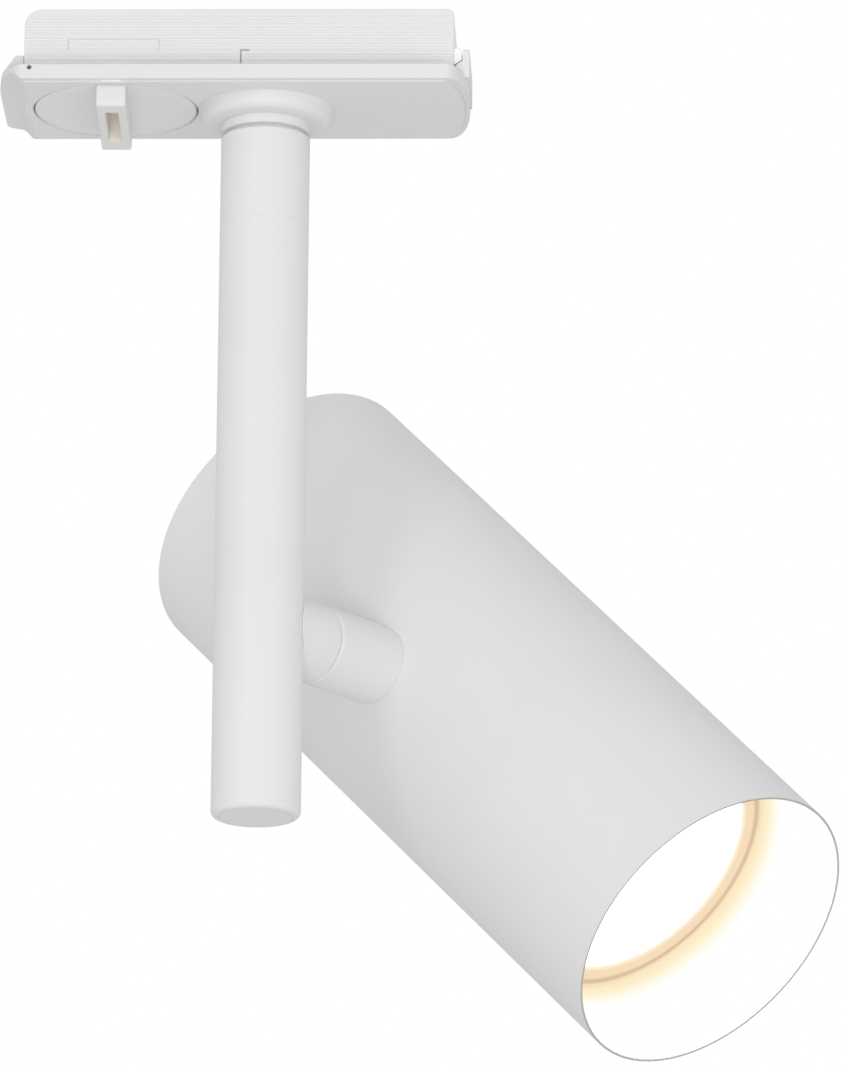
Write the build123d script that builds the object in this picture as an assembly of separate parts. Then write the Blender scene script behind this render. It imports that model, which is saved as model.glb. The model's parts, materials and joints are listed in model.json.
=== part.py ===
from build123d import *
import os
from math import asin, cos, degrees, radians, sin

# Track spotlight: a white lamp head on a straight drop stem, hung from a one-circuit track adapter.
# Frame: origin at the centre of the swivel joint between adapter and stem, +Z up, +X along the track.

# ---------------------------------------------------------------- driving dimensions (mm, degrees)
STEM_D = 17.0          # stem tube, outside
STEM_LENGTH = 134.6    # swivel joint to the closed lower end
COUPLER_LENGTH = 18.0  # upper section of the stem, seam to swivel joint
PIVOT_DROP = 97.0      # swivel joint to tilt axis
HEAD_OFFSET = 63.8     # stem axis to head axis, along the tilt axis
HEAD_D = 60.0          # lamp head, outside
HEAD_FRONT = 80.8      # tilt axis to front rim
HEAD_BACK = 63.3       # tilt axis to back face
HEAD_WALL = 1.2
PIVOT_D = 15.4         # pivot bosses
PAN_REST = 53.5        # tilt axis direction at rest, turned from the track direction
TILT_REST = 43.1       # head axis below the horizontal at rest
TILT_MIN = 0.0         # head level
TILT_MAX = 90.0        # head straight down
PAN_STOP = 165.0       # free turn each way from rest

COVER_LEFT = -50.9     # adapter cover, ends along the track
COVER_RIGHT = 39.1
COVER_WIDTH = 36.0
COVER_TOP = 8.7        # face that meets the track
COVER_RIM_BOTTOM = 5.7
COVER_UNDER = 5.3      # raised field of the underside
INSERT_LEFT = -45.9    # block that enters the track
INSERT_RIGHT = 36.2
INSERT_WIDTH = 20.0
INSERT_TOP = 22.35
KNOB_X = -28.8         # axis of the locking knob
KNOB_D = 31.0

LAMP_D = 50.0          # reflector lamp, rim
LAMP_DEPTH = 22.9      # front rim of the head to the lamp's bezel ring
NIPPLE_D = 10.0        # hollow threaded nipple, M10 x 1
NIPPLE_BORE = 7.0
BOLT_D = 8.0           # hollow tilt bolt, M8 x 1
BOLT_BORE = 5.0
CABLE_D = 3.6
WIRE_D = 1.4

FIT = 0.03             # radial clearance of a running fit
SNUG = 0.02            # radial clearance of a seated piece

# ---------------------------------------------------------------- sizes that follow
STEM_R = STEM_D / 2
STEM_BORE_R = STEM_R - 1.5
HEAD_R = HEAD_D / 2
HEAD_BORE_R = HEAD_R - HEAD_WALL
PIVOT_R = PIVOT_D / 2
HALF_GAP = 0.25        # half of the dark joint between adapter and stem
COVER_HALF = COVER_WIDTH / 2
INSERT_HALF = INSERT_WIDTH / 2
INSERT_WALL = 1.6
INSERT_SEAT = COVER_TOP - 0.5
ROOF = INSERT_TOP - INSERT_WALL
KNOB_R = KNOB_D / 2
ROTOR_R = 13.0
ROTOR_BOTTOM = 14.35
ROTOR_TOP = ROTOR_BOTTOM + 2.0
CONTACT_R = ROTOR_R + 0.1
SEAM_X = 15.8          # stem axis to the middle of the tilt seam
SEAM_HALF = 0.2
LAMP_FACE = HEAD_FRONT - LAMP_DEPTH
CARRIER_R = 27.1       # bore of the sleeve that carries the lamp
FRONT_BORE_R = HEAD_BORE_R + 0.4   # recess ahead of the lamp, for louvres and snoots
FRONT_BEVEL = 3.0      # inner bevel of the front rim, along the axis


# ---------------------------------------------------------------- helpers
def rod(radius, bottom, top, x=0.0, y=0.0):
    """Upright cylinder between two heights."""
    return Pos(x, y, (bottom + top) / 2) * Cylinder(radius, top - bottom)


def ring(outer, inner, bottom, top, x=0.0, y=0.0):
    """Upright tube between two heights."""
    return rod(outer, bottom, top, x, y) - rod(inner, bottom - 1, top + 1, x, y)


def block(x0, x1, y0, y1, z0, z1):
    """Box between two corners."""
    return Pos((x0 + x1) / 2, (y0 + y1) / 2, (z0 + z1) / 2) * Box(x1 - x0, y1 - y0, z1 - z0)


def turned(*profile):
    """Solid of revolution about Z from (radius, height) corners."""
    outline = Polyline(*[(r, 0, z) for r, z in profile], close=True)
    return revolve(make_face(outline), Axis.Z)


def side_profile(half_width, *corners):
    """Prism across the track from (x, z) corners."""
    outline = Polyline(*[(x, 0, z) for x, z in corners], close=True)
    return extrude(make_face(outline), amount=half_width, both=True, dir=(0, 1, 0))


def hexagon(flats, bottom, top, bore):
    """Hexagon nut standing on Z."""
    prism = Pos(0, 0, bottom) * extrude(RegularPolygon(flats / 2, 6, major_radius=False), top - bottom)
    return prism - rod(bore, bottom - 1, top + 1)


def wire(diameter, *points):
    """Round wire along a smooth path."""
    path = Spline(*points)
    section = Plane(origin=path @ 0, z_dir=path % 0) * Circle(diameter / 2)
    return sweep(section, path=path)


def edges_at(part, height, tolerance=0.01):
    """Edges lying wholly at one height."""
    return part.edges().filter_by_position(Axis.Z, height - tolerance, height + tolerance)


# ---------------------------------------------------------------- placing frames
IN_STEM = Rot(0, 0, PAN_REST)                                        # tilt axis drawn along +X
AT_PIVOT = IN_STEM * Pos(0, 0, -PIVOT_DROP)
ALONG_PIVOT = AT_PIVOT * Rot(0, 90, 0)                               # drawn along Z, from the stem axis
TILTED = AT_PIVOT * Rot(TILT_REST, 0, 0)
ALONG_PIVOT_TILTED = TILTED * Rot(0, 90, 0)
IN_HEAD = TILTED * Pos(HEAD_OFFSET, 0, 0) * Rot(90, 0, 0)            # drawn along Z, forwards


# ---------------------------------------------------------------- adapter, fixed in the track
RIGHT_ROUND = 4.2      # ends of the plan: half ellipse on the right
LEFT_ROUND = 5.5       # quarter ellipse at the near left corner
SMALL_CORNER = 1.2     # far left corner


def plan_outline(inset, bottom, top):
    """Plan of the adapter cover as a prism, its edge moved inwards by the inset."""
    left = COVER_LEFT + inset
    right = COVER_RIGHT - inset
    half = COVER_HALF - inset
    left_x = left + LEFT_ROUND
    right_x = right - RIGHT_ROUND
    plan = Pos((left_x + right_x) / 2, 0) * Rectangle(right_x - left_x, 2 * half)
    plan += Pos(right_x, 0) * Ellipse(RIGHT_ROUND, half)
    near_left = Pos(left_x, 0) * Ellipse(LEFT_ROUND, half)
    far_left = Pos((left + left_x) / 2, half / 2) * Rectangle(LEFT_ROUND, half)
    plan += near_left + far_left
    prism = Pos(0, 0, bottom) * extrude(plan.face(), top - bottom)
    corner = prism.edges().filter_by(Axis.Z).sort_by_distance((left, half, bottom))[0]
    return fillet(corner, SMALL_CORNER)


BOSS_BASE_R = 13.0
BOSS_BOTTOM_R = 12.0
BOSS_BOTTOM = 2.2
BUSH_R = 6.2
SCREW_XS = (11.8, 33.2)
SCREW_SHANK_R = 1.2
NOSE_HALF = INSERT_HALF - 0.2
NOSE_RIGHT = INSERT_LEFT - 0.1
NOSE_TOP = 13.1
STEP_Z = 7.4
PINHOLE_X = -44.3
PINHOLE_Z = 8.05
PINHOLE_R = 0.45
LATCH_HALF = 9.6
LATCH_BACK = 36.6
LATCH_SEAT = 6.6
LATCH_TOP = 14.3
SHOULDER_RIGHT = INSERT_RIGHT + 1.5
SHOULDER_TOP = 14.6
SHOULDER_LOW = 12.2
KNOB_HOLE_R = KNOB_R + 0.35
FLANGE_R = KNOB_R + 1.1
FLANGE_BOTTOM = 7.3


def adapter_cover():
    cover = plan_outline(0, COVER_RIM_BOTTOM, COVER_TOP)
    cover += plan_outline(0.9, COVER_UNDER, COVER_RIM_BOTTOM)
    boss = turned(
        (0, COVER_RIM_BOTTOM), (BOSS_BASE_R, COVER_RIM_BOTTOM), (BOSS_BASE_R, COVER_UNDER),
        (BOSS_BOTTOM_R, BOSS_BOTTOM), (0, BOSS_BOTTOM),
    )
    cover += fillet(edges_at(boss, BOSS_BOTTOM), 2.0)
    # nose that rises into the track slot at the left end, within the plan of the cover
    nose = side_profile(
        NOSE_HALF,
        (NOSE_RIGHT, INSERT_SEAT), (NOSE_RIGHT, NOSE_TOP), (NOSE_RIGHT - 1.5, NOSE_TOP),
        (COVER_LEFT + 0.5, COVER_TOP + 0.4), (COVER_LEFT, COVER_TOP), (COVER_LEFT, INSERT_SEAT),
    )
    cover += nose & plan_outline(0, INSERT_SEAT, NOSE_TOP + 1)
    # underside steps up towards the left end, then rises a little more
    step = make_face(
        Polyline((-52, 0, 4), (-44.4, 0, 4), (-47.5, 0, STEP_Z), (-52, 0, STEP_Z + 0.8), close=True)
    )
    corner_point = step.vertices().sort_by_distance((-47.5, 0, STEP_Z))[0]
    step = fillet([corner_point], 1.6)
    cover -= extrude(step, amount=COVER_HALF + 1, both=True, dir=(0, 1, 0))
    # seat of the insert and slot for the end latch
    seat_half = INSERT_HALF + 0.15
    cover -= block(INSERT_LEFT - 0.1, INSERT_RIGHT + 0.2, -seat_half, seat_half, INSERT_SEAT, COVER_TOP + 0.3)
    cover -= block(LATCH_BACK - 0.1, COVER_RIGHT + 1, -LATCH_HALF - 0.1, LATCH_HALF + 0.1, LATCH_SEAT, 12)
    # recess of the locking knob, bore of the swivel bush, holes for the screws
    cover -= rod(KNOB_HOLE_R, 0, 20, KNOB_X)
    cover -= rod(FLANGE_R + 0.08, FLANGE_BOTTOM - 0.1, 20, KNOB_X)
    cover -= rod(BUSH_R + SNUG, 0, 20)
    for x in SCREW_XS:
        cover -= rod(SCREW_SHANK_R + SNUG, LATCH_SEAT - 0.2, 20, x)
    # pinhole in the near side, beside the nose
    cover -= Pos(PINHOLE_X, -COVER_HALF + 1.4, PINHOLE_Z) * Rot(90, 0, 0) * Cylinder(PINHOLE_R, 3.0)
    return cover


def insert_housing():
    left_r = 3.4
    right_r = 1.3
    body = block(INSERT_LEFT, INSERT_RIGHT, -INSERT_HALF, INSERT_HALF, INSERT_SEAT, INSERT_TOP)
    tops = edges_at(body, INSERT_TOP).filter_by(Axis.Y)
    body = fillet(tops.sort_by(Axis.X)[0], left_r)
    body = fillet(edges_at(body, INSERT_TOP).filter_by(Axis.Y).sort_by(Axis.X)[-1], right_r)
    # shoulder that the end latch catches on
    body += side_profile(
        LATCH_HALF,
        (INSERT_RIGHT - 1, SHOULDER_TOP), (INSERT_RIGHT, SHOULDER_TOP), (SHOULDER_RIGHT - 0.3, SHOULDER_TOP),
        (SHOULDER_RIGHT, SHOULDER_TOP - 0.3), (SHOULDER_RIGHT, SHOULDER_LOW), (INSERT_RIGHT, SHOULDER_LOW - 0.9),
        (INSERT_RIGHT - 1, SHOULDER_LOW - 0.9),
    )
    # fine ribs along both sides
    for height in RIB_HEIGHTS:
        for side in (-1, 1):
            groove = block(INSERT_LEFT - 1, INSERT_RIGHT + 0.01, -RIB_DEPTH, RIB_DEPTH, height, height + RIB_GAP)
            body -= Pos(0, side * INSERT_HALF, 0) * groove
    body -= block(
        INSERT_LEFT + INSERT_WALL, INSERT_RIGHT - INSERT_WALL,
        -INSERT_HALF + INSERT_WALL, INSERT_HALF - INSERT_WALL, 0, ROOF,
    )
    # posts for the two long screws, heads sunk in the roof
    for x in SCREW_XS:
        body += rod(2.6, INSERT_SEAT, ROOF + 0.5, x)
        body -= rod(SCREW_SHANK_R + 0.1, 0, 30, x)
        body -= rod(2.4, INSERT_TOP - 1.6, 30, x)
    # post that ends the turn of the stem
    body += rod(PAN_POST_R, 12.9, ROOF + 0.5, PAN_POST_X)
    # cut lines of a small snap tab in the near side
    body -= block(TAB_X, TAB_X + 0.25, -INSERT_HALF - 1, TAB_Y, TAB_BOTTOM, TAB_TOP)
    body -= block(TAB_X, TAB_X + 1.7, -INSERT_HALF - 1, TAB_Y, TAB_TOP - 0.25, TAB_TOP)
    # slots in both sides that the rotor and its contacts turn out of
    body -= rod(CONTACT_R + 0.1, ROTOR_BOTTOM - 0.1, ROTOR_TOP + 0.1, KNOB_X)
    # window for the earth spring
    body -= block(EARTH_X - 7.2, EARTH_X + 7.2, -2.1, 2.1, ROOF - 1, 30)
    return body


RIB_HEIGHTS = [9.6 + 1.1 * step for step in range(11)]
RIB_GAP = 0.25
RIB_DEPTH = 0.12
TAB_X = -4.6
TAB_Y = -INSERT_HALF + 0.9
TAB_BOTTOM = 11.4
TAB_TOP = 14.3
PAN_POST_R = 1.2
PAN_POST_X = 7.6
EARTH_X = -6.0


def end_latch():
    """Latch at the right end: a foot in the cover and a tab that stands over its rounded end."""
    foot = block(LATCH_BACK, COVER_RIGHT, -LATCH_HALF, LATCH_HALF, LATCH_SEAT, COVER_TOP)
    foot &= plan_outline(0, COVER_RIM_BOTTOM, COVER_TOP + 1)
    tab = side_profile(
        LATCH_HALF,
        (LATCH_BACK, COVER_TOP), (LATCH_BACK, SHOULDER_LOW - 0.95), (SHOULDER_RIGHT + 0.3, SHOULDER_LOW),
        (SHOULDER_RIGHT + 0.3, LATCH_TOP), (COVER_RIGHT + 0.1, LATCH_TOP), (COVER_RIGHT + 0.1, COVER_TOP),
    )
    return foot + tab


def screw(x, y, head_top, tip, shank_r, head_r, head_h):
    """Cross-head screw standing on its tip."""
    body = rod(shank_r, tip, head_top, x, y) + rod(head_r, head_top - head_h, head_top, x, y)
    recess = 0.7
    for turn in (0, 90):
        cross = Pos(x, y, head_top) * Rot(0, 0, turn) * Box(head_r * 1.3, 0.5, 2 * recess)
        body -= cross
    return body


def adapter_screws():
    return [screw(x, 0, INSERT_TOP - 0.1, LATCH_SEAT, SCREW_SHANK_R, 2.2, 1.5) for x in SCREW_XS]


def swivel_bush():
    """Flanged bush: its flange is the short collar that shows above the stem."""
    bush = ring(STEM_R, NIPPLE_D / 2 + FIT, HALF_GAP, BOSS_BOTTOM)
    bush += ring(BUSH_R, NIPPLE_D / 2 + FIT, BOSS_BOTTOM, COVER_TOP - 0.3)
    return bush


def earth_contact():
    """Bent strip that springs against the earth rail in the roof of the track."""
    half = 1.8
    thick = 0.5
    low = ROOF - thick
    high = INSERT_TOP + 0.9
    top = [(-6.6, low), (-5.0, low), (-2.0, high), (2.0, high), (5.0, low), (6.6, low)]
    under = [(x, z - thick) for x, z in reversed(top)]
    strip = side_profile(half, *[(EARTH_X + x, z) for x, z in top + under])
    # tail past the screw post to the terminal block
    strip += block(EARTH_X + 5.6, EARTH_X + 6.6, -half, TAIL_Y + 0.6, low - thick, low)
    strip += block(EARTH_X + 5.6, BLOCK_X0 + 4.0, TAIL_Y - 0.6, TAIL_Y + 0.6, low - thick, low)
    return strip


TAIL_Y = 3.8
BLOCK_X0 = 18.2
BLOCK_X1 = 29.8
BLOCK_TOP = 19.6
TERMINAL_X = 23.5
POLES = (-5.0, 0.0, 5.0)
POLE_Z = 17.8
POLE_R = 1.1


def terminal_block():
    base = block(BLOCK_X0, BLOCK_X1, -7.6, 7.6, 12.0, BLOCK_TOP)
    for y in POLES:
        base -= Pos((BLOCK_X0 + BLOCK_X1) / 2, y, POLE_Z) * Rot(0, 90, 0) * Cylinder(POLE_R, 30)
        base -= rod(1.3, POLE_Z, 30, TERMINAL_X, y)
    return base


def terminal_screws():
    screws = []
    for y in POLES:
        head = rod(1.2, POLE_Z, BLOCK_TOP - 0.1, TERMINAL_X, y)
        head -= block(TERMINAL_X - 2, TERMINAL_X + 2, y - 0.2, y + 0.2, BLOCK_TOP - 0.7, BLOCK_TOP)
        screws.append(head)
    return screws


def brush(side):
    """Leaf that links a terminal to the contact tongue on the rotor."""
    y = 6.9 * side
    low = ROTOR_TOP + 0.35
    strip = block(KNOB_X + 3.2, BLOCK_X0 - 0.1, y - 1.0, y + 1.0, low, low + 0.4)
    foot = block(BLOCK_X0 - 0.5, BLOCK_X0 - 0.1, y - 1.0, y + 1.0, 13.4, low + 0.4)
    return strip + foot


def adapter_wires():
    """Three wires from the terminals, past the screw post, to the mouth of the nipple."""
    post = SCREW_XS[0]
    mouth = 15.2
    live, earth, neutral = POLES
    inside = TERMINAL_X - 2.2
    outside = BLOCK_X0 - 1.2
    return {
        "live_wire": wire(
            WIRE_D, (inside, live, POLE_Z), (outside, live, POLE_Z), (post, live, POLE_Z + 0.6),
            (post - 6, -3.0, 18.8), (1.4, -1.0, 18.8), (-0.9, 0, 17.2), (-1.0, 0, mouth),
        ),
        "earth_wire": wire(
            WIRE_D, (inside, earth, POLE_Z), (BLOCK_X0 + 0.6, earth, POLE_Z), (post + 3.6, -2.6, 16.6),
            (post, -3.7, 16.0), (post - 4, -3.4, 16.1), (3.0, -1.7, 16.6), (1.15, -1.0, mouth),
        ),
        "neutral_wire": wire(
            WIRE_D, (inside, neutral, POLE_Z), (outside, neutral, POLE_Z), (post, neutral, POLE_Z + 0.6),
            (post - 6, 3.0, 18.6), (2.4, 1.3, 17.6), (1.15, 1.0, mouth),
        ),
    }


# ---------------------------------------------------------------- locking knob and its contacts
BAR_PLACE = Pos(-0.3, 0, 0) * Rot(0, 0, 1.0)   # the bar stands a little off square


def lock_knob():
    """Flush disc with a finger bar below and a hub that carries the rotor."""
    knob = rod(KNOB_R, COVER_UNDER, FLANGE_BOTTOM) + rod(FLANGE_R, FLANGE_BOTTOM, FLANGE_BOTTOM + 0.8)
    knob = fillet(edges_at(knob, COVER_UNDER), 0.25)
    knob += rod(4.0, FLANGE_BOTTOM, ROTOR_TOP)
    knob += rod(7.0, FLANGE_BOTTOM, ROTOR_BOTTOM)
    bar_height = 4.2
    near = -15.5
    far = 12.4
    bar = block(-2.85, 2.85, near, far, COVER_UNDER - bar_height, COVER_UNDER + 0.5)
    bottom = edges_at(bar, COVER_UNDER - bar_height)
    bar = chamfer(bottom.filter_by(Axis.X).sort_by(Axis.Y)[-1], 1.3)
    bar = fillet(edges_at(bar, COVER_UNDER - bar_height).filter_by(Axis.X).sort_by(Axis.Y)[0], 0.6)
    bar = fillet(edges_at(bar, COVER_UNDER - bar_height).filter_by(Axis.Y), 0.5)
    slot = block(-1.25, 1.25, -11.2, 6.4, COVER_UNDER - bar_height - 1, COVER_UNDER + 1.0)
    knob += BAR_PLACE * bar
    knob -= BAR_PLACE * slot
    knob -= rod(1.3, ROTOR_TOP - 6, 30)
    return Pos(KNOB_X, 0, 0) * knob


def contact_rotor():
    """Disc with two flats: flush with the insert when open, two round lugs beyond it when locked."""
    flat = INSERT_HALF - 0.1
    rotor = rod(ROTOR_R, ROTOR_BOTTOM, ROTOR_TOP) & block(-20, 20, -flat, flat, 0, 30)
    # the ribs of the insert run on over the flats
    for height in RIB_HEIGHTS:
        if ROTOR_BOTTOM < height < ROTOR_TOP - RIB_GAP:
            for side in (-1, 1):
                groove = block(-20, 20, -RIB_DEPTH, RIB_DEPTH, height, height + RIB_GAP)
                rotor -= Pos(0, side * flat, 0) * groove
    rotor -= rod(4.0 + SNUG, 0, 30)
    for side in (-1, 1):
        rotor -= Pos(side * 10.0, 0, ROTOR_TOP) * Box(10.4, 6.1, 1.2)
    return Pos(KNOB_X, 0, 0) * rotor


def contact_tongue(side):
    """Brass tongue let into the top of the rotor, tip just beyond its rim."""
    tongue = block(5.0, CONTACT_R, -2.9, 2.9, ROTOR_TOP - 0.6, ROTOR_TOP)
    tongue = fillet(tongue.edges().filter_by(Axis.Z).sort_by(Axis.X)[-2:], 1.2)
    turn = 0 if side > 0 else 180
    return Pos(KNOB_X, 0, 0) * Rot(0, 0, turn) * tongue


def rotor_screw():
    body = screw(0, 0, ROTOR_TOP + 1.6, ROTOR_TOP - 5.5, 1.28, 2.9, 1.6)
    washer_gap = rod(5.0, 0, ROTOR_TOP) - rod(1.28, 0, 30)
    return Pos(KNOB_X, 0, 0) * (body - washer_gap)


# ---------------------------------------------------------------- stem, turns under the adapter
NUT_BOTTOM = 9.5
NUT_TOP = 12.3


def swivel_nipple():
    return ring(NIPPLE_D / 2, NIPPLE_BORE / 2, -14.0, 14.6)


def thrust_washer():
    return ring(STEM_R - 0.7, NIPPLE_D / 2 + SNUG, -HALF_GAP, HALF_GAP)


def wave_washer():
    """Spring washer under the swivel nut: it sets the turning friction."""
    return ring(7.4, NIPPLE_D / 2 + SNUG, COVER_TOP, NUT_BOTTOM)


def swivel_nut():
    return hexagon(14.0, NUT_BOTTOM, NUT_TOP, NIPPLE_D / 2 + SNUG)


def pan_stop_washer():
    """Washer keyed to the nipple, its tab meets the post in the insert at both ends of the turn."""
    bottom = NUT_TOP + 0.1
    top = bottom + 1.6
    tab_r = 8.2
    half_angle = 180 - PAN_STOP - degrees(asin(PAN_POST_R / PAN_POST_X)) - 0.4
    washer = ring(6.2, NIPPLE_D / 2 + SNUG, bottom, top)
    half_width = tab_r * sin(radians(half_angle))
    tab = block(5.4, tab_r, -half_width, half_width, bottom, top)
    tab &= rod(tab_r, bottom, top)
    # at rest the tab points away from the post
    return (washer + Rot(0, 0, 180) * tab) - rod(NIPPLE_D / 2 + SNUG, 0, 30)


def stem_coupler():
    """Upper section of the stem: takes the nipple above and plugs into the tube below."""
    body = turned(
        (NIPPLE_D / 2 + SNUG, -HALF_GAP), (STEM_R - 0.5, -HALF_GAP), (STEM_R, -HALF_GAP - 0.5),
        (STEM_R, -COUPLER_LENGTH + 0.15), (STEM_R - 0.15, -COUPLER_LENGTH),
        (STEM_BORE_R - SNUG, -COUPLER_LENGTH), (STEM_BORE_R - SNUG, -COUPLER_LENGTH - 9),
        (NIPPLE_BORE / 2, -COUPLER_LENGTH - 9), (NIPPLE_BORE / 2, -14.1), (NIPPLE_D / 2 + SNUG, -14.1),
    )
    return body


SPIGOT_R = 5.6


def stem_tube():
    tube = turned(
        (STEM_BORE_R, -COUPLER_LENGTH), (STEM_R - 0.15, -COUPLER_LENGTH), (STEM_R, -COUPLER_LENGTH - 0.15),
        (STEM_R, -STEM_LENGTH), (STEM_BORE_R, -STEM_LENGTH),
    )
    outer = edges_at(tube, -STEM_LENGTH).sort_by(lambda edge: edge.length)[-1]
    tube = fillet(outer, 1.2)
    hole = Pos(0, 0, -PIVOT_DROP) * Rot(0, 90, 0) * rod(SPIGOT_R + SNUG, 0, 20)
    return IN_STEM * (tube - hole)


def stem_end_plug():
    plug = rod(STEM_BORE_R - SNUG, -STEM_LENGTH, -STEM_LENGTH + 4.0)
    return plug - rod(STEM_BORE_R - 1.5, -STEM_LENGTH + 1.5, -STEM_LENGTH + 5)


def stem_cable():
    """Sheathed cable from the adapter to the mouth of the hollow tilt bolt."""
    turn_z = -PIVOT_DROP
    path = Polyline((0, 0, 14.4), (0, 0, turn_z), (4.0, 0, turn_z))
    path = fillet(path.vertices().sort_by_distance((0, 0, turn_z))[0], 3.0)
    section = Plane(origin=path @ 0, z_dir=path % 0) * Circle(CABLE_D / 2)
    return IN_STEM * sweep(section, path=path)


# ---------------------------------------------------------------- tilt joint, drawn along the tilt axis
FLANGE_BACK = 4.3
FLANGE_FRONT = 6.0
NUT_SEAT = HEAD_OFFSET - CARRIER_R + 1.3
NUT_HEIGHT = 4.0
BOLT_END = NUT_SEAT + NUT_HEIGHT + 1.2
STOP_R = 5.8
STOP_PIN_R = 0.8


def stem_pivot_boss():
    """Stem side of the pivot: saddle on the tube, spigot through its wall."""
    end = SEAM_X - SEAM_HALF
    boss = rod(PIVOT_R, 0, end)
    boss = chamfer(edges_at(boss, end), 0.2)
    boss -= Rot(0, -90, 0) * rod(STEM_R + 0.01, -20, 20)
    boss += rod(SPIGOT_R, FLANGE_FRONT + 0.1, STEM_R + 3)
    boss -= rod(BOLT_D / 2 + FIT, -1, 30)
    boss -= rod(STOP_PIN_R + SNUG, end - 4, 30, STOP_R)
    return ALONG_PIVOT * boss


def friction_washer():
    washer = ring(PIVOT_R - 0.7, BOLT_D / 2 + FIT, SEAM_X - SEAM_HALF, SEAM_X + SEAM_HALF)
    washer -= rod(STOP_PIN_R + SNUG, 0, 30, STOP_R)
    return ALONG_PIVOT * washer


def tilt_stop_pin():
    return ALONG_PIVOT * rod(STOP_PIN_R, SEAM_X - SEAM_HALF - 3.8, SEAM_X + SEAM_HALF + 1.4, STOP_R)


def arc_slot(radius, pin_r, start, end, bottom, top):
    """Slot swept by a pin about Z between two angles."""
    middle = (start + end) / 2
    half = (end - start) / 2
    slot = rod(radius + pin_r, bottom, top) - rod(radius - pin_r, bottom - 1, top + 1)
    reach = 2 * radius
    keep = Polyline(
        (0, 0), (reach * cos(radians(half)), reach * sin(radians(half))), (3 * reach, 0),
        (reach * cos(radians(half)), -reach * sin(radians(half))), close=True,
    )
    slot &= Pos(0, 0, bottom - 1) * extrude(make_face(keep), top - bottom + 2)
    for angle in (-half, half):
        slot += rod(pin_r, bottom, top, radius * cos(radians(angle)), radius * sin(radians(angle)))
    return Rot(0, 0, middle) * slot


def head_pivot_boss():
    """Head side of the pivot, coped to the round of the head."""
    start = SEAM_X + SEAM_HALF
    boss = rod(PIVOT_R, start, HEAD_OFFSET - HEAD_R + 3)
    boss = chamfer(edges_at(boss, start), 0.35)
    boss -= Pos(0, 0, HEAD_OFFSET) * Rot(90, 0, 0) * Cylinder(HEAD_R + 0.01, 60)
    boss -= rod(BOLT_D / 2 + SNUG, 0, 60)
    # seen from the tilting head, the pin goes back by the angle the head has tilted down
    margin = 0.4
    low = -TILT_MAX - margin
    high = -TILT_MIN + margin
    boss -= arc_slot(STOP_R, STOP_PIN_R + 0.06, low, high, start - 1, start + 1.6)
    return ALONG_PIVOT_TILTED * boss


def tilt_bolt():
    """Hollow bolt: flange inside the stem, thread in the head boss, cable through its bore."""
    bolt = rod(5.3, FLANGE_BACK, FLANGE_FRONT) + rod(BOLT_D / 2, FLANGE_FRONT, BOLT_END)
    bolt -= rod(BOLT_BORE / 2, 0, 60)
    # the flange clears the curved wall inside the stem
    bolt &= Rot(0, -90, 0) * rod(STEM_BORE_R - 0.15, -40, 40) + rod(BOLT_D / 2, FLANGE_FRONT, 60)
    return ALONG_PIVOT_TILTED * bolt


def tilt_nut():
    return ALONG_PIVOT_TILTED * hexagon(13.0, NUT_SEAT, NUT_SEAT + NUT_HEIGHT, BOLT_D / 2 + SNUG)


def saddle_washer():
    """Washer coped to the sleeve on one face, flat under the nut on the other."""
    washer = rod(7.4, NUT_SEAT - 3.0, NUT_SEAT) - rod(BOLT_D / 2 + SNUG, 0, 60)
    washer &= Pos(0, 0, HEAD_OFFSET) * Rot(90, 0, 0) * Cylinder(CARRIER_R - 0.01, 60)
    return ALONG_PIVOT_TILTED * washer


# ---------------------------------------------------------------- lamp head, drawn along its axis
BACK_PLATE = 2.0
SLEEVE_R = HEAD_BORE_R - 0.05
SLEEVE_BACK = -12.0
SLEEVE_FRONT = LAMP_FACE - 0.9
BEZEL_FRONT = LAMP_FACE + 0.4
WEB_BACK = 8.0
WEB_FRONT = 10.0
HOLDER_HOLE_R = 16.0
HOLDER_SCREW_X = 17.7
ROD_R = 2.5
ROD_Y = 22.0


def pivot_hole():
    """Hole for the tilt bolt in the head's own frame."""
    return Pos(-HEAD_R, 0, 0) * Rot(0, 90, 0) * Cylinder(BOLT_D / 2 + 0.1, 20)


def head_housing():
    lip = 0.4
    bore_start = BEZEL_FRONT + 0.6
    tube = turned(
        (HEAD_BORE_R, -HEAD_BACK), (HEAD_R, -HEAD_BACK), (HEAD_R, HEAD_FRONT),
        (HEAD_R - lip, HEAD_FRONT), (FRONT_BORE_R, HEAD_FRONT - FRONT_BEVEL), (FRONT_BORE_R, bore_start),
        (HEAD_BORE_R, bore_start),
    )
    outer = edges_at(tube, -HEAD_BACK).sort_by(lambda edge: edge.length)[-1]
    tube = fillet(outer, 0.5)
    return IN_HEAD * (tube - pivot_hole())


def back_plate():
    plate = rod(HEAD_BORE_R - SNUG, -HEAD_BACK, -HEAD_BACK + BACK_PLATE)
    for side in (-1, 1):
        plate -= Pos(0, side * ROD_Y, -HEAD_BACK + 0.9) * Cone(3.0, 1.6, 1.8)
        plate -= rod(1.6, -70, -50, 0, side * ROD_Y)
    return IN_HEAD * plate


def back_plate_screws():
    screws = []
    for side in (-1, 1):
        head = Pos(0, 0, -HEAD_BACK + 0.9) * Cone(2.9, 1.5, 1.7)
        body = head + rod(1.4, -HEAD_BACK + 1, -HEAD_BACK + 9)
        for turn in (0, 90):
            body -= Pos(0, 0, -HEAD_BACK) * Rot(0, 0, turn) * Box(3.2, 0.5, 1.4)
        screws.append(IN_HEAD * Pos(0, side * ROD_Y, 0) * body)
    return screws


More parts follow.
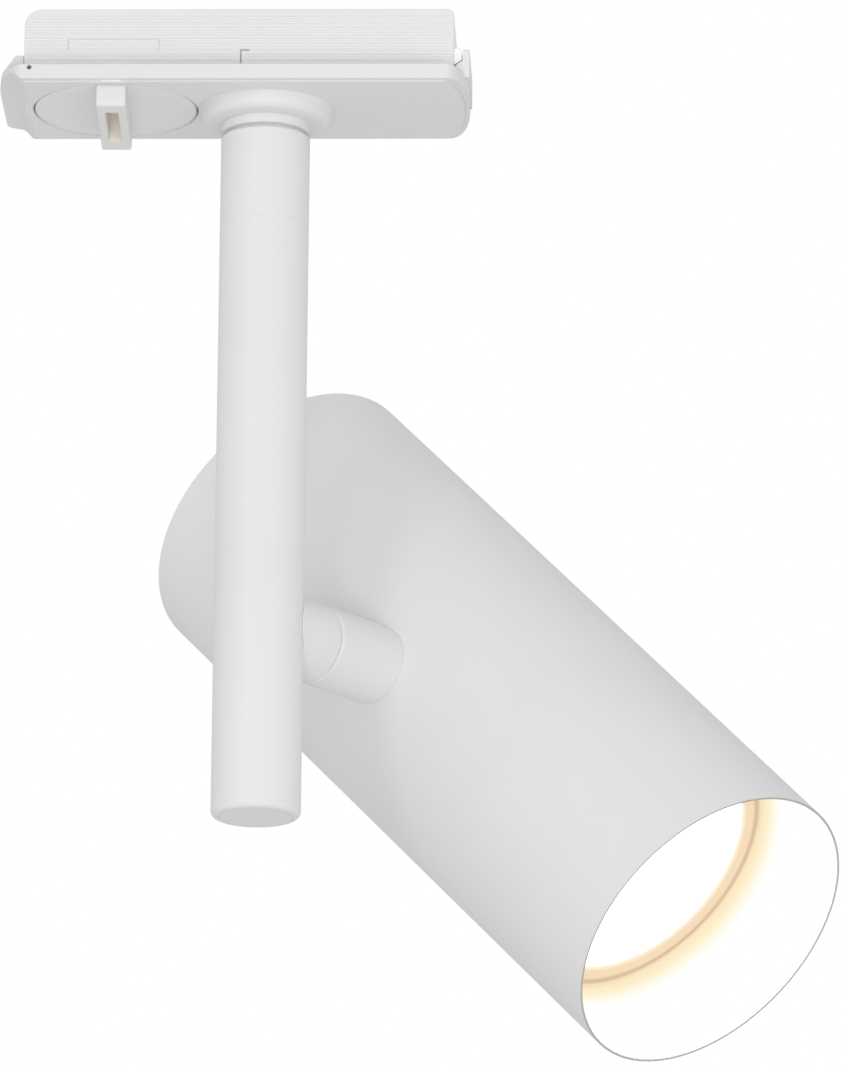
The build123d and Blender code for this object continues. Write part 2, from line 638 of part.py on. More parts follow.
def spacer_rods():
    rods = []
    for side in (-1, 1):
        body = rod(ROD_R, -HEAD_BACK + BACK_PLATE, WEB_BACK)
        body -= rod(1.42, -HEAD_BACK, -HEAD_BACK + 10)
        rods.append(IN_HEAD * Pos(0, side * ROD_Y, 0) * body)
    return rods


def lamp_carrier():
    """Sleeve inside the housing with a web that the lamp holder is screwed to."""
    body = ring(SLEEVE_R, CARRIER_R, SLEEVE_BACK, SLEEVE_FRONT)
    body += ring(SLEEVE_R - 0.5, HOLDER_HOLE_R, WEB_BACK, WEB_FRONT)
    body -= pivot_hole()
    for side in (-1, 1):
        body -= rod(1.3, 0, 20, side * HOLDER_SCREW_X)
    return IN_HEAD * body


def bezel_ring():
    """Ring that frames the lamp and covers the sleeve's edge, with a shallow groove between its two zones."""
    groove_r = CARRIER_R - 0.1
    body = turned(
        (24.2, SLEEVE_FRONT), (SLEEVE_R - 0.05, SLEEVE_FRONT), (SLEEVE_R - 0.05, BEZEL_FRONT - 0.5),
        (groove_r + 0.5, BEZEL_FRONT - 0.2), (groove_r + 0.2, BEZEL_FRONT - 0.5), (groove_r, BEZEL_FRONT - 0.5),
        (groove_r - 0.3, BEZEL_FRONT), (24.8, BEZEL_FRONT), (24.2, BEZEL_FRONT - 0.6),
    )
    return IN_HEAD * body


PIN_SPACING = 10.0
PIN_R = 1.2
PIN_HEAD_R = 2.4
LAMP_BASE = LAMP_FACE - 46.0
TWIST = 20.0


def lamp_holder():
    """Ceramic holder with two keyhole slots for the bayonet pins."""
    top = LAMP_BASE - 0.3
    body = rod(15.0, -6.0, top) + ring(19.4, 10.0, WEB_BACK - 2.0, WEB_BACK)
    body -= rod(2.2, -10, -3.5)
    for turn in (0, 180):
        throat = arc_slot(PIN_SPACING / 2, PIN_R + 0.15, 90, 90 + TWIST, top - 3.0, top + 1)
        cavity = arc_slot(PIN_SPACING / 2, PIN_HEAD_R + 0.2, 90, 90 + TWIST, 1.0, top - 3.0)
        mouth_angle = radians(90 + TWIST)
        x = PIN_SPACING / 2 * cos(mouth_angle)
        y = PIN_SPACING / 2 * sin(mouth_angle)
        mouth = rod(PIN_HEAD_R + 0.2, top - 3.5, top + 1, x, y)
        body -= Rot(0, 0, turn) * (throat + cavity + mouth)
    for side in (-1, 1):
        body -= rod(1.3, 0, 20, side * HOLDER_SCREW_X)
    return IN_HEAD * body


def holder_screws():
    screws = []
    for side in (-1, 1):
        body = rod(1.28, WEB_BACK - 3.0, WEB_FRONT) + rod(2.3, WEB_BACK - 3.6, WEB_BACK - 2.0)
        body -= Pos(0, 0, WEB_BACK - 3.6) * Box(3.4, 0.5, 1.2)
        screws.append(IN_HEAD * Pos(side * HOLDER_SCREW_X, 0, 0) * body)
    return screws


def holder_contacts():
    """Sprung brass strips at the bottom of the pin cavities."""
    strips = []
    for side in (-1, 1):
        strips.append(IN_HEAD * block(-1.4, 1.4, side * 5.0 - 1.6, side * 5.0 + 1.6, 1.1, 1.5))
    return strips


def head_cable():
    """Cable from the bore of the tilt bolt round to the back of the holder."""
    start = 4.6 - HEAD_OFFSET
    beside = BOLT_END + 2.9 - HEAD_OFFSET
    behind = -13.0
    path = Polyline((start, 0, 0), (beside, 0, 0), (beside, 0, behind), (0, 0, behind), (0, 0, -3.8))
    for corner in [(beside, 0, 0), (beside, 0, behind), (0, 0, behind)]:
        path = fillet(path.vertices().sort_by_distance(corner)[0], 2.6)
    section = Plane(origin=path @ 0, z_dir=path % 0) * Circle(CABLE_D / 2)
    return IN_HEAD * sweep(section, path=path)


# ---------------------------------------------------------------- lamp, twists in its holder
def lamp_body():
    """Reflector lamp with a bayonet base."""
    rim = LAMP_D / 2
    body = turned(
        (0, LAMP_BASE), (13.4, LAMP_BASE), (14.0, LAMP_BASE + 0.6), (14.0, LAMP_BASE + 9.0),
        (16.5, LAMP_BASE + 14.0), (rim - 1.6, LAMP_FACE - 8.0), (rim, LAMP_FACE - 6.0), (rim, LAMP_FACE - 1.0),
        (24.15, LAMP_FACE - 1.0), (24.15, LAMP_FACE - 2.0), (22.6, LAMP_FACE - 2.0),
        (20.0, LAMP_FACE - 9.0), (0, LAMP_FACE - 9.0),
    )
    for y in (-1, 1):
        body -= rod(PIN_R, 0, LAMP_BASE + 3, 0, y * PIN_SPACING / 2)
    return IN_HEAD * body


def lamp_lens():
    lens = rod(24.1, LAMP_FACE - 1.95, LAMP_FACE - 0.2)
    lens &= rod(24.1, 0, LAMP_FACE - 0.95) + rod(24.1, 0, 99)
    return IN_HEAD * fillet(edges_at(lens, LAMP_FACE - 0.2), 0.4)


def led_board():
    board = rod(19.0, LAMP_FACE - 8.95, LAMP_FACE - 7.4)
    for step in range(6):
        board += Rot(0, 0, 60 * step) * block(10.5, 13.5, -1.5, 1.5, LAMP_FACE - 7.4, LAMP_FACE - 6.8)
    return IN_HEAD * board


def lamp_pins():
    pins = []
    for side in (-1, 1):
        body = rod(PIN_R, LAMP_BASE - 6.6, LAMP_BASE + 2.9) + rod(PIN_HEAD_R, LAMP_BASE - 7.0, LAMP_BASE - 4.4)
        pins.append(IN_HEAD * Pos(0, side * PIN_SPACING / 2, 0) * body)
    return pins


# ---------------------------------------------------------------- write one file per piece
PIECES = {
    "adapter_cover": adapter_cover(),
    "insert_housing": insert_housing(),
    "end_latch": end_latch(),
    "adapter_screws": adapter_screws(),
    "swivel_bush": swivel_bush(),
    "earth_contact": earth_contact(),
    "terminal_block": terminal_block(),
    "terminal_screws": terminal_screws(),
    "live_brush": brush(-1),
    "neutral_brush": brush(1),
    **adapter_wires(),
    "lock_knob": lock_knob(),
    "contact_rotor": contact_rotor(),
    "live_contact": contact_tongue(1),
    "neutral_contact": contact_tongue(-1),
    "rotor_screw": rotor_screw(),
    "swivel_nipple": swivel_nipple(),
    "thrust_washer": thrust_washer(),
    "wave_washer": wave_washer(),
    "swivel_nut": swivel_nut(),
    "pan_stop_washer": pan_stop_washer(),
    "stem_coupler": stem_coupler(),
    "stem_tube": stem_tube(),
    "stem_end_plug": stem_end_plug(),
    "stem_cable": stem_cable(),
    "stem_pivot_boss": stem_pivot_boss(),
    "friction_washer": friction_washer(),
    "tilt_stop_pin": tilt_stop_pin(),
    "head_pivot_boss": head_pivot_boss(),
    "tilt_bolt": tilt_bolt(),
    "saddle_washer": saddle_washer(),
    "tilt_nut": tilt_nut(),
    "head_housing": head_housing(),
    "back_plate": back_plate(),
    "back_plate_screws": back_plate_screws(),
    "spacer_rods": spacer_rods(),
    "lamp_carrier": lamp_carrier(),
    "bezel_ring": bezel_ring(),
    "lamp_holder": lamp_holder(),
    "holder_screws": holder_screws(),
    "holder_contacts": holder_contacts(),
    "head_cable": head_cable(),
    "lamp_body": lamp_body(),
    "lamp_lens": lamp_lens(),
    "led_board": led_board(),
    "lamp_pins": lamp_pins(),
}

os.makedirs("parts", exist_ok=True)
for name, piece in PIECES.items():
    if isinstance(piece, list):
        piece = Compound(children=[solid for item in piece for solid in item.solids()])
    export_step(piece, f"parts/{name}.step")
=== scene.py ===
import bpy
import json
from math import radians, sin, cos
from mathutils import Matrix, Vector


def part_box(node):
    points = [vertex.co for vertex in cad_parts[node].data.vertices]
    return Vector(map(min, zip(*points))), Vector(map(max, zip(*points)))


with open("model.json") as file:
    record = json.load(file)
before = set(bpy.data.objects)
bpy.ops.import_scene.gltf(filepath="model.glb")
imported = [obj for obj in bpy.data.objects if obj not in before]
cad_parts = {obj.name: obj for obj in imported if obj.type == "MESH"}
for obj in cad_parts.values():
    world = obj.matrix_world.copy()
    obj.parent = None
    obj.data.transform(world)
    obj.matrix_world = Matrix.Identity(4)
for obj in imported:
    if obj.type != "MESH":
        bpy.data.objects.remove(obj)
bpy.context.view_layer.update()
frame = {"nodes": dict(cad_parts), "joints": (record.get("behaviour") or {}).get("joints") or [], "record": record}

# Looks of the track spotlight: materials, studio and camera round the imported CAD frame. Metres.
nodes = frame["nodes"]
MM = 0.001

# ------------------------------------------------------------ places taken from the frame
joints = {joint["name"]: joint for joint in frame["joints"]}
HEAD_AXIS = Vector(joints["lamp_twist"]["axis"])          # from the back of the head to its front
HEAD_CENTRE = Vector(joints["lamp_twist"]["pos_m"])       # on the head's axis, level with the tilt axis
KNOB_CENTRE = Vector(joints["knob_turn"]["pos_m"])


def reach(node):
    """How far forward a node's vertices go along the head's axis, from the head's centre."""
    return max((vertex.co - HEAD_CENTRE).dot(HEAD_AXIS) for vertex in nodes[node].data.vertices)


def spread(node):
    """Largest distance of a node's vertices from the head's axis."""
    offsets = [vertex.co - HEAD_CENTRE for vertex in nodes[node].data.vertices]
    return max((offset - HEAD_AXIS * offset.dot(HEAD_AXIS)).length for offset in offsets)


HEAD_FRONT = reach("head_housing")
BEZEL_FRONT = reach("bezel_ring")
HEAD_R = spread("head_housing")

knob_low, knob_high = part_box("lock_knob")
rotor_low, rotor_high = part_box("contact_rotor")
KNOB_FLANGE_R = (knob_high.x - knob_low.x) / 2
BAR_SHIFT = -0.3 * MM               # the finger bar stands a little off the knob's centre
BAR_END = knob_low.y + 1.1 * MM     # near end of the finger bar
SLOT_HALF = 1.35 * MM               # half the width of the slot in the bar
COVER_UNDERSIDE = KNOB_CENTRE.z     # the knob is flush with it
SEAM_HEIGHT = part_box("stem_tube")[1][2]


# ------------------------------------------------------------ node building
EDGE_SAMPLES = 6
EDGE_START = 0.999      # cosine between true and rounded normal where an edge starts to count
EDGE_FULL = 0.86


class Graph:
    """Small helper that builds one material's nodes."""

    def __init__(self, name):
        self.material = bpy.data.materials.new(name)
        self.material.use_nodes = True
        self.tree = self.material.node_tree
        self.surface = self.tree.nodes["Principled BSDF"]
        self.output = self.tree.nodes["Material Output"]
        self.place = self.add("ShaderNodeTexCoord").outputs["Object"]

    def add(self, kind, inputs=None, **settings):
        node = self.tree.nodes.new(kind)
        for key, value in settings.items():
            setattr(node, key, value)
        for key, value in (inputs or {}).items():
            self.feed(node.inputs[key], value)
        return node

    def feed(self, socket, value):
        if isinstance(value, bpy.types.NodeSocket):
            self.tree.links.new(value, socket)
        else:
            socket.default_value = value

    def set(self, **values):
        for key, value in values.items():
            self.feed(self.surface.inputs[key.replace("_", " ")], value)

    def maths(self, operation, *values):
        node = self.add("ShaderNodeMath", operation=operation)
        for index, value in enumerate(values):
            self.feed(node.inputs[index], value)
        return node.outputs[0]

    def above(self, value, limit):
        return self.maths("GREATER_THAN", value, limit)

    def below(self, value, limit):
        return self.maths("LESS_THAN", value, limit)

    def both(self, first, second):
        return self.maths("MULTIPLY", first, second)

    def vector(self, operation, *values):
        node = self.add("ShaderNodeVectorMath", operation=operation)
        for index, value in enumerate(values):
            self.feed(node.inputs[index], value)
        return node.outputs["Value"] if operation in ("DOT_PRODUCT", "LENGTH") else node.outputs[0]

    def noise(self, scale, detail, stretch=(1, 1, 1)):
        scaled = self.vector("MULTIPLY", self.place, stretch)
        node = self.add("ShaderNodeTexNoise", {"Vector": scaled, "Scale": scale, "Detail": detail})
        return node.outputs["Fac"]

    def span(self, value, low, high, to_low=0.0, to_high=1.0):
        node = self.add("ShaderNodeMapRange", {
            "Value": value, "From Min": low, "From Max": high, "To Min": to_low, "To Max": to_high,
        })
        return node.outputs["Result"]

    def mix(self, share, first, second):
        node = self.add("ShaderNodeMix", data_type="RGBA")
        for key, value in (("Factor_Float", share), ("A_Color", first), ("B_Color", second)):
            socket = next(item for item in node.inputs if item.identifier == key)
            self.feed(socket, value)
        return next(item for item in node.outputs if item.identifier == "Result_Color")

    def ramp(self, value, *stops):
        node = self.add("ShaderNodeValToRGB", {"Fac": value})
        band = node.color_ramp
        while len(band.elements) < len(stops):
            band.elements.new(0.5)
        for element, (place, colour) in zip(band.elements, stops):
            element.position = place
            element.color = (*colour, 1)
        return node.outputs["Color"]

    def edge(self, radius):
        """Share of edge at a point, 0 on flats and 1 on a sharp edge, and the rounded normal."""
        rounded = self.add("ShaderNodeBevel", {"Radius": radius}, samples=EDGE_SAMPLES).outputs[0]
        true = self.add("ShaderNodeNewGeometry").outputs["Normal"]
        along = self.vector("DOT_PRODUCT", rounded, true)
        return self.span(along, EDGE_START, EDGE_FULL), rounded

    def split(self, axis):
        """One coordinate of the point, in the rest frame."""
        return self.add("ShaderNodeSeparateXYZ", {0: self.place}).outputs[axis]

    def from_knob(self):
        """Distance from the knob's axis."""
        offset = self.vector("SUBTRACT", self.place, (KNOB_CENTRE.x, KNOB_CENTRE.y, 0))
        return self.vector("LENGTH", self.vector("MULTIPLY", offset, (1, 1, 0)))

    def along_head(self):
        """Distance along the head's axis and from it."""
        offset = self.vector("SUBTRACT", self.place, tuple(HEAD_CENTRE))
        depth = self.vector("DOT_PRODUCT", offset, tuple(HEAD_AXIS))
        radius = self.vector("LENGTH", self.vector("CROSS_PRODUCT", offset, tuple(HEAD_AXIS)))
        return depth, radius


# ------------------------------------------------------------ basic materials
# noise scales, in features per metre
PATCH_SCALE = 28
GLOSS_SCALE = 160
WEAR_SCALE = 900
METAL_PATCH_SCALE = 120
METAL_MARK_SCALE = 2600
PLASTIC_PATCH_SCALE = 60
PLASTIC_GLOSS_SCALE = 400
PAINT_PEEL_SCALE = 1500
MOULD_PEEL_SCALE = 1100
PLASTIC_PEEL_SCALE = 1800

COAT_RELIEF = 0.02 * MM         # height of the fine texture
PLASTIC_RELIEF = 0.03 * MM
PAINT_EDGE = 0.25 * MM          # radius of painted and moulded edges
COVER_EDGE = 0.3 * MM
BOSS_EDGE = 0.35 * MM
METAL_EDGE = 0.12 * MM
PLASTIC_EDGE = 0.15 * MM
PAINT_IOR = 1.46
COAT_WEAR = 0.06                # how far worn spots on white edges go towards grey

# painted light over the shade of gaps, grooves and the wall round the knob, and its weak glow in the rotor's gap
GAP_PAINTED_LIGHT = (0.96, 0.96, 0.945, 1)
GAP_PAINTED_GLOW = 0.14
ROTOR_GAP = 0.4 * MM            # more than the gap round the rotor
# painted light over the shade of the stem seam's chamfers
SEAM_PAINTED_LIGHT = (0.87, 0.87, 0.87, 1)
SEAM_HALF = 0.16 * MM
# painted highlight on the pivot bosses' edges
PAINTED_HIGHLIGHT = (0.95, 0.95, 0.95, 1)
BRIGHT_EDGE_R = 0.5 * MM
# painted warm light over the shade inside the knob's finger slot
SLOT_PAINTED_WARM_LIGHT = (0.97, 0.945, 0.86, 1)


def grey(value, warm=0.0):
    """Grey of a given lightness, a little towards yellow when warm."""
    return (value * (1 + warm), value, value * (1 - 1.6 * warm), 1)


def surface_bump(graph, height, strength, distance, rounded):
    """Normal with fine relief on top of the rounded edges."""
    bump = graph.add(
        "ShaderNodeBump", {"Height": height, "Strength": strength, "Distance": distance, "Normal": rounded},
    )
    return bump.outputs[0]


def coat(name, value, warm, rough, peel, grain, round_edge):
    """Painted or moulded white surface: soft patches, fine texture, rounded and slightly worn edges."""
    graph = Graph(name)
    patches = graph.noise(PATCH_SCALE, 4)
    fine = graph.noise(peel, 2)
    share, rounded = graph.edge(round_edge)
    darker = grey(value * 0.985, warm)
    lighter = grey(value * 1.015, warm * 0.6)
    base = graph.mix(graph.span(patches, 0.3, 0.7), darker, lighter)
    broken = graph.maths("MULTIPLY", share, graph.span(graph.noise(WEAR_SCALE, 4), 0.42, 0.6))
    graph.set(
        Base_Color=graph.mix(graph.maths("MULTIPLY", broken, COAT_WEAR), base, grey(value * 0.7, warm)),
        Roughness=graph.span(graph.noise(GLOSS_SCALE, 5), 0.25, 0.75, rough - 0.05, rough + 0.06),
        IOR=PAINT_IOR,
        Normal=surface_bump(graph, fine, grain, COAT_RELIEF, rounded),
    )
    return graph


def metal(name, colour, rough, scratch=(1, 1, 1)):
    """Machined or stamped metal with fine marks and darker patches."""
    graph = Graph(name)
    marks = graph.noise(METAL_MARK_SCALE, 3, stretch=scratch)
    patches = graph.noise(METAL_PATCH_SCALE, 5)
    share, rounded = graph.edge(METAL_EDGE)
    dull = tuple(0.7 * part for part in colour)
    bright = tuple(min(1, 1.2 * part) for part in colour)
    tone = graph.mix(graph.span(patches, 0.3, 0.75), (*colour, 1), (*dull, 1))
    graph.set(
        Base_Color=graph.mix(graph.maths("MULTIPLY", share, 0.5), tone, (*bright, 1)),
        Metallic=1.0,
        Roughness=graph.span(marks, 0.3, 0.7, rough - 0.08, rough + 0.1),
        Normal=surface_bump(graph, marks, 0.25, COAT_RELIEF, rounded),
    )
    return graph


def plastic(name, colour, rough, grain=0.2):
    """Coloured moulded plastic, rubber or ceramic."""
    graph = Graph(name)
    patches = graph.noise(PLASTIC_PATCH_SCALE, 4)
    _, rounded = graph.edge(PLASTIC_EDGE)
    darker = tuple(0.85 * part for part in colour)
    graph.set(
        Base_Color=graph.mix(graph.span(patches, 0.3, 0.7), (*darker, 1), (*colour, 1)),
        Roughness=graph.span(graph.noise(PLASTIC_GLOSS_SCALE, 3), 0.3, 0.7, rough - 0.06, rough + 0.08),
        Normal=surface_bump(graph, graph.noise(PLASTIC_PEEL_SCALE, 2), grain, PLASTIC_RELIEF, rounded),
    )
    return graph


def powder_coat(name, round_edge=PAINT_EDGE):
    return coat(name, 0.80, 0.0, 0.50, PAINT_PEEL_SCALE, 0.30, round_edge)


def cover_white(name):
    return coat(name, 0.79, 0.0, 0.45, MOULD_PEEL_SCALE, 0.18, COVER_EDGE)


def insert_white(name):
    return coat(name, 0.81, 0.007, 0.48, MOULD_PEEL_SCALE, 0.2, PAINT_EDGE)


# ------------------------------------------------------------ parts of the head: painted lamp light and shade, and the glowing lens
# painted lamp light on the inner wall and the ring; painted shade for the browner line in the ring's groove and
# the rim's line
LAMP_LIGHT_PEACH = (0.98, 0.82, 0.55)
LAMP_LIGHT_CREAM = (1.0, 0.90, 0.66)
LAMP_LIGHT_PALE = (1.0, 0.98, 0.88)
LAMP_LIGHT_WHITE = (1.0, 1.0, 1.0)
RING_PAINTED_LIGHT = (0.92, 0.73, 0.51)
RING_GROOVE_SHADE = (0.72, 0.53, 0.34)
RIM_PAINTED_SHADE = (0.50, 0.49, 0.43)
RING_INNER = 24.0 * MM
RING_OUTER = 29.0 * MM
LENS_CELLS = 700.0
LENS_STRENGTH = 3.2
GLOW_DEPTH = 5.0 * MM       # how far ahead of the ring the painted warm light on the wall fades to white


def painted_light_surface(graph, colour):
    """Emission surface, as bright as its colour however the studio is lit: it paints light on parts that are no
    lamp.
    """
    return graph.add("ShaderNodeEmission", {"Color": colour, "Strength": 1.0}).outputs[0]


def housing_material():
    """Powder coat outside; painted lamp light on the inner wall ahead of the lamp, warm at the ring and white
    beyond, and a painted shade line on the rim's front face.
    """
    graph = powder_coat("head_coat")
    depth, radius = graph.along_head()
    wall = graph.ramp(
        graph.span(depth, BEZEL_FRONT, BEZEL_FRONT + GLOW_DEPTH),
        (0.0, LAMP_LIGHT_PEACH), (0.30, LAMP_LIGHT_CREAM), (0.65, LAMP_LIGHT_PALE), (1.0, LAMP_LIGHT_WHITE),
    )
    # painted shade: the rim's front face is drawn as a grey-brown line
    rim = graph.add("ShaderNodeBsdfDiffuse", {"Color": (*RIM_PAINTED_SHADE, 1)}).outputs[0]
    # painted lamp light on the inner wall ahead of the ring
    inside = graph.below(radius, HEAD_R - 0.45 * MM)
    lit = graph.both(inside, graph.above(depth, BEZEL_FRONT - 0.5 * MM))
    at_rim = graph.above(depth, HEAD_FRONT - 0.02 * MM)
    body = graph.add(
        "ShaderNodeMixShader", {0: lit, 1: graph.surface.outputs[0], 2: painted_light_surface(graph, wall)},
    ).outputs[0]
    whole = graph.add("ShaderNodeMixShader", {0: at_rim, 1: body, 2: rim}).outputs[0]
    graph.feed(graph.output.inputs["Surface"], whole)
    return graph


def ring_material():
    """Bezel ring with painted lamp light: cream at the lens, then peach, with painted shade as a browner line in
    its groove.
    """
    graph = metal("bezel", (0.9, 0.9, 0.88), 0.4)
    _, radius = graph.along_head()
    # painted lamp light over the whole ring, with painted shade in its groove
    colour = graph.ramp(
        graph.span(radius, RING_INNER, RING_OUTER),
        (0.0, LAMP_LIGHT_PALE), (0.05, LAMP_LIGHT_CREAM), (0.14, RING_PAINTED_LIGHT), (0.42, RING_PAINTED_LIGHT),
        (0.54, RING_GROOVE_SHADE), (0.68, RING_GROOVE_SHADE), (0.80, RING_PAINTED_LIGHT), (1.0, LAMP_LIGHT_PEACH),
    )
    graph.feed(graph.output.inputs["Surface"], painted_light_surface(graph, colour))
    return graph


def lens_material():
    """Glowing lens with small cells."""
    graph = plastic("lens_glow", (0.95, 0.92, 0.85), 0.3)
    cells = graph.add("ShaderNodeTexVoronoi", {"Vector": graph.place, "Scale": LENS_CELLS})
    glow = graph.ramp(cells.outputs["Distance"], (0.0, (1.0, 0.98, 0.92)), (1.0, (1.0, 0.94, 0.82)))
    graph.set(Emission_Color=glow, Emission_Strength=LENS_STRENGTH)
    return graph


# ------------------------------------------------------------ white parts with painted light over the shade in gaps, grooves and slots, and painted highlights
def paint_light(graph, share, colour):
    """Paint a lighter colour over a share of the surface: painted light over the shade in narrow gaps and
    recesses, which would otherwise draw hard black lines, and painted highlights.
    """
    base = graph.surface.inputs["Base Color"]
    graph.feed(base, graph.mix(share, base.links[0].from_socket, colour))


def insert_material(node):
    """Warm white moulding with painted light: all that is set back from its side faces, grooves among them, is
    lighter, and the gap round the rotor has a weak painted glow.
    """
    graph = insert_white(f"{node}_white")
    across = graph.maths("ABSOLUTE", graph.split("Y"))
    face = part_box(node)[1][1]
    # painted light over the shade of everything set back from the side faces, the grooves among them
    paint_light(graph, graph.below(across, face - 0.04 * MM), GAP_PAINTED_LIGHT)

    # painted light: the walls of the thin gap round the rotor's flats, just behind the face, glow weakly so that
    # their shade isn't black
    share = graph.both(graph.below(across, face - 0.16 * MM), graph.above(across, face - 1.2 * MM))
    for axis, low, high in (("X", rotor_low.x, rotor_high.x), ("Z", rotor_low.z, rotor_high.z)):
        share = graph.both(share, graph.above(graph.split(axis), low - ROTOR_GAP))
        share = graph.both(share, graph.below(graph.split(axis), high + ROTOR_GAP))
    graph.set(Emission_Color=GAP_PAINTED_LIGHT, Emission_Strength=graph.maths("MULTIPLY", share, GAP_PAINTED_GLOW))
    return graph


def cover_material():
    """White moulding with painted light over the shade of the recessed wall round the knob."""
    graph = cover_white("cover_white")
    near_knob = graph.below(graph.from_knob(), KNOB_FLANGE_R + 0.6 * MM)
    inside = graph.above(graph.split("Z"), COVER_UNDERSIDE + 0.1 * MM)
    # painted light on the wall round the knob
    paint_light(graph, graph.both(near_knob, inside), GAP_PAINTED_LIGHT)
    return graph


def knob_material():
    """White plastic; inside the finger slot, painted warm light, lighter and yellower than the knob, over the
    slot's shade.
    """
    graph = coat("knob_plastic", 0.815, 0.004, 0.42, MOULD_PEEL_SCALE, 0.15, PAINT_EDGE)
    aside = graph.maths("ABSOLUTE", graph.maths("SUBTRACT", graph.split("X"), KNOB_CENTRE.x + BAR_SHIFT))
    slot = graph.below(aside, SLOT_HALF)
    for axis, limit in (("Y", BAR_END + 0.3 * MM), ("Z", knob_low.z + 0.1 * MM)):
        slot = graph.both(slot, graph.above(graph.split(axis), limit))
    # painted warm light inside the finger slot
    paint_light(graph, slot, SLOT_PAINTED_WARM_LIGHT)
    return graph


def stem_material():
    """Powder coat, with painted light over the shade of the small chamfers at the stem's seam, keeping them as
    light as the tube.
    """
    graph = powder_coat("stem_coat")
    off_seam = graph.maths("ABSOLUTE", graph.maths("SUBTRACT", graph.split("Z"), SEAM_HEIGHT))
    # painted light on the seam band
    paint_light(graph, graph.below(off_seam, SEAM_HALF), SEAM_PAINTED_LIGHT)
    return graph


def boss_material():
    """Powder coat with a painted highlight on its edges, the edges where the two halves of the pivot meet among
    them.
    """
    graph = powder_coat("boss_coat", BOSS_EDGE)
    # painted highlight on the rounded edges
    paint_light(graph, graph.edge(BRIGHT_EDGE_R)[0], PAINTED_HIGHLIGHT)
    return graph


# ------------------------------------------------------------ which node wears what
paint = powder_coat("powder_coat").material
moulded = cover_white("moulded_white").material
stem_coat = stem_material().material
boss_coat = boss_material().material
steel = metal("zinc_steel", (0.62, 0.63, 0.64), 0.32).material
brass = metal("stamped_brass", (0.80, 0.60, 0.27), 0.28).material
aluminium = metal("turned_aluminium", (0.80, 0.80, 0.81), 0.34, scratch=(1, 1, 8)).material
dark = plastic("dark_nylon", (0.004, 0.004, 0.004), 0.7, 0.1).material
ceramic = plastic("ceramic", (0.82, 0.79, 0.72), 0.3, 0.1).material

FINISHES = {
    "white_paint": paint,
    "white_plastic": moulded,
    "dark_nylon": dark,
    "steel": steel,
    "brass": brass,
    "aluminium": aluminium,
    "ceramic": ceramic,
    "grey_plastic": plastic("terminal_grey", (0.36, 0.36, 0.34), 0.5).material,
    "live_insulation": plastic("brown_insulation", (0.16, 0.07, 0.03), 0.35).material,
    "neutral_insulation": plastic("blue_insulation", (0.03, 0.12, 0.42), 0.35).material,
    "earth_insulation": plastic("green_insulation", (0.20, 0.42, 0.04), 0.35).material,
    "cable_sheath": plastic("cable_sheath", (0.72, 0.72, 0.70), 0.5).material,
    "lamp_white": coat("lamp_white", 0.80, 0.0, 0.35, MOULD_PEEL_SCALE, 0.12, COVER_EDGE).material,
    "led": plastic("led_board", (0.85, 0.78, 0.50), 0.4).material,
    "lamp_glass": lens_material().material,
}
SPECIAL = {
    "head_housing": housing_material().material,
    "bezel_ring": ring_material().material,
    "insert_housing": insert_material("insert_housing").material,
    "adapter_cover": cover_material().material,
    "stem_coupler": stem_coat,
    "stem_tube": stem_coat,
    "stem_pivot_boss": boss_coat,
    "head_pivot_boss": boss_coat,
    "friction_washer": boss_coat,
    # the thrust washer's grey is painted shade, set to the shaded gap under the collar
    "thrust_washer": plastic("nylon_painted_shade_grey", (0.62, 0.62, 0.62), 0.6, 0.1).material,
    "end_latch": insert_white("latch_white").material,
    "contact_rotor": insert_material("contact_rotor").material,
    "lock_knob": knob_material().material,
}


def dress():
    """Give each CAD node its material: its special one, else the one for its slot."""
    slots = {part["node"]: part["material_slot"] for part in frame["record"]["subparts"]}
    for name, node in nodes.items():
        node.data.materials.clear()
        node.data.materials.append(SPECIAL.get(name) or FINISHES[slots[name]])


# ------------------------------------------------------------ studio
CAMERA_PLACE = Vector((0.0961, -1.8565, -0.6187))
CAMERA_TURN = radians(-2.02)     # away from +Y, towards +X
CAMERA_RISE = radians(16.19)     # looking up from below
CAMERA_ROLL = radians(0.59)
CAMERA_LENS = 344.05
SENSOR_WIDTH = 36
CAMERA_CLIP = (0.05, 30)
STUDIO_AIM = (0.02, 0.0, -0.07)
STUDIO_LIGHTS = (                # name, place, diameter, watts
    ("low_front", (0.0, -2.36, -1.10), 1.0, 14.0),
    ("low_right", (1.52, -1.81, -1.10), 1.0, 6.6),
    ("left_front", (-1.16, -2.28, 0.45), 0.6, 6.2),
)
WORLD_SEEN = 1.0                 # white background
WORLD_LIGHT = 0.70               # strength of the even light round the object
FLOOR_DROP = -3.6
FLOOR_HALF = 11.0


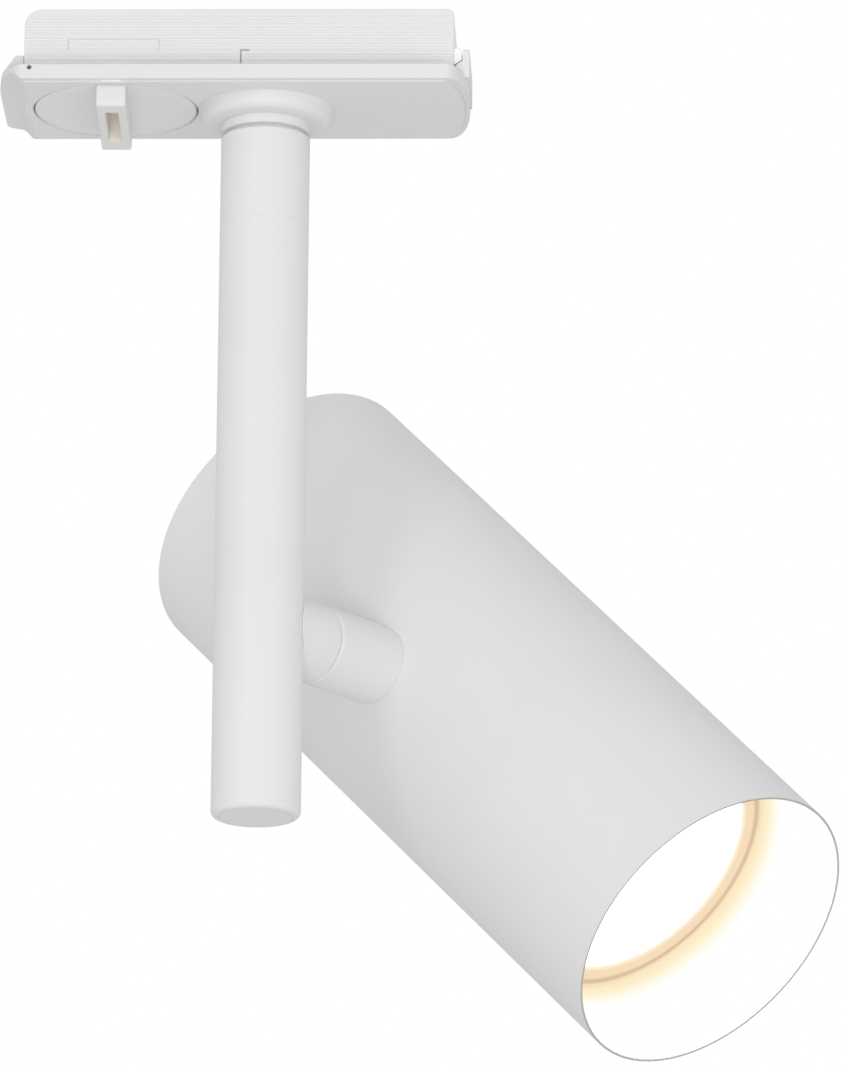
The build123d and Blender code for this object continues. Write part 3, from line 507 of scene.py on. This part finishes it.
def make_camera():
    """Camera by place, turn, rise and roll."""
    forward = Vector((
        sin(CAMERA_TURN) * cos(CAMERA_RISE),
        cos(CAMERA_TURN) * cos(CAMERA_RISE),
        sin(CAMERA_RISE),
    ))
    level = Vector((cos(CAMERA_TURN), -sin(CAMERA_TURN), 0))
    upright = level.cross(forward)
    right = level * cos(CAMERA_ROLL) + upright * sin(CAMERA_ROLL)
    up = -level * sin(CAMERA_ROLL) + upright * cos(CAMERA_ROLL)
    data = bpy.data.cameras.new("camera")
    data.lens = CAMERA_LENS
    data.sensor_width = SENSOR_WIDTH
    data.clip_start, data.clip_end = CAMERA_CLIP
    camera = bpy.data.objects.new("camera", data)
    camera.matrix_world = Matrix((
        (right.x, up.x, -forward.x, CAMERA_PLACE.x),
        (right.y, up.y, -forward.y, CAMERA_PLACE.y),
        (right.z, up.z, -forward.z, CAMERA_PLACE.z),
        (0, 0, 0, 1),
    ))
    bpy.context.scene.collection.objects.link(camera)
    bpy.context.scene.camera = camera


def disk_light(name, place, size, power):
    """Round soft light facing the middle of the object."""
    data = bpy.data.lights.new(name, "AREA")
    data.shape = "DISK"
    data.size = size
    data.energy = power
    lamp = bpy.data.objects.new(name, data)
    lamp.location = place
    lamp.visible_camera = False
    lamp.rotation_euler = (Vector(STUDIO_AIM) - Vector(place)).to_track_quat("-Z", "Y").to_euler()
    bpy.context.scene.collection.objects.link(lamp)


def make_world(seen, lighting):
    """White behind the object, and an even white light all round it."""
    world = bpy.data.worlds.new("studio")
    bpy.context.scene.world = world
    world.use_nodes = True
    tree = world.node_tree
    tree.nodes.clear()
    out = tree.nodes.new("ShaderNodeOutputWorld")
    mix = tree.nodes.new("ShaderNodeMixShader")
    path = tree.nodes.new("ShaderNodeLightPath")
    for index, strength in ((1, lighting), (2, seen)):
        background = tree.nodes.new("ShaderNodeBackground")
        background.inputs["Color"].default_value = (1, 1, 1, 1)
        background.inputs["Strength"].default_value = strength
        tree.links.new(background.outputs[0], mix.inputs[index])
    tree.links.new(path.outputs["Is Camera Ray"], mix.inputs[0])
    tree.links.new(mix.outputs[0], out.inputs[0])


def make_floor(drop, half):
    """Plain pale floor well below the object."""
    mesh = bpy.data.meshes.new("floor")
    corners = [(-half, -half, drop), (half, -half, drop), (half, half, drop), (-half, half, drop)]
    mesh.from_pydata(corners, [], [(0, 1, 2, 3)])
    floor = bpy.data.objects.new("floor", mesh)
    bpy.context.scene.collection.objects.link(floor)
    graph = Graph("pale_floor")
    graph.set(Base_Color=grey(0.88), Roughness=0.8)
    mesh.materials.append(graph.material)


dress()
make_camera()
make_world(WORLD_SEEN, WORLD_LIGHT)
make_floor(FLOOR_DROP, FLOOR_HALF)
for studio_light in STUDIO_LIGHTS:
    disk_light(*studio_light)
bpy.context.scene.view_settings.view_transform = "Standard"
